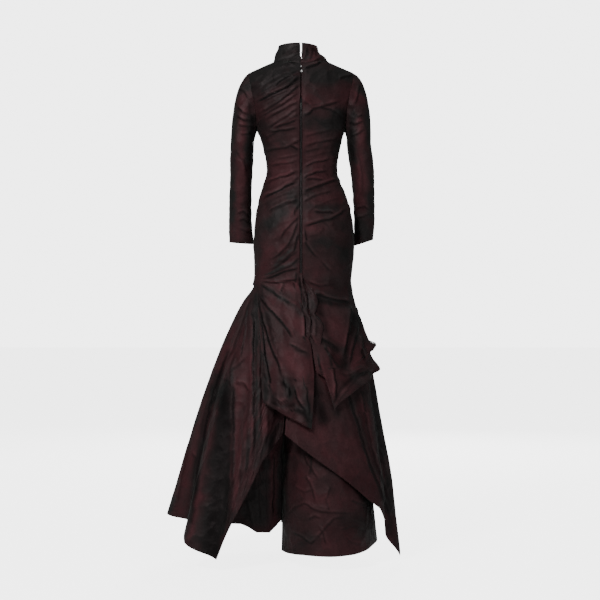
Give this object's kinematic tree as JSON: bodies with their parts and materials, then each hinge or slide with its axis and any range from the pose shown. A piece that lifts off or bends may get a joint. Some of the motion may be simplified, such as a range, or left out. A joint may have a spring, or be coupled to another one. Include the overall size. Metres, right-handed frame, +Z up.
{
  "type": "evening gown",
  "caption": "Long-sleeved, high-collared evening gown with a pleated bodice, a centre-back zip, a draped peplum and a pointed overskirt over a level underskirt.",
  "frame": {"origin": "between the shoulders at the level of the neck seam's back, where a wearer or a stand holds the gown up", "axes": "+Z up; -Y is the gown's back with the zip, +Y its front; +X is the wearer's right"},
  "size_m": [0.7848, 0.5972, 1.7231],
  "materials": {
    "taffeta": "shot taffeta, wine and black-green, soft sheen",
    "tape": "woven black tape",
    "zip_chain": "dark coil",
    "zip_metal": "dark polished metal",
    "button_metal": "polished silver-coloured metal"
  },
  "bodies": {
    "gown": {"back_left": "taffeta", "back_right": "taffeta", "front": "taffeta", "collar": "taffeta", "sleeve_left": "taffeta", "sleeve_right": "taffeta", "overskirt_left": "taffeta", "overskirt_right": "taffeta", "underskirt_left": "taffeta", "underskirt_right": "taffeta", "frill_left": "taffeta", "frill_right": "taffeta", "zip_tape_left": "tape", "zip_tape_right": "tape", "zip_coil": "zip_chain", "zip_slider": "zip_metal", "neck_button_1": "button_metal", "neck_button_2": "button_metal", "neck_button_3": "button_metal", "neck_button_4": "button_metal"},
    "pull": {"zip_pull": "zip_metal"}
  },
  "joints": [
    {"name": "pull_tab", "type": "hinge", "parent": "gown", "child": "pull", "pos_m": [0, -0.1007, -0.1455], "axis": [-1, 0, 0], "range_deg": [0, 160]}
  ]
}
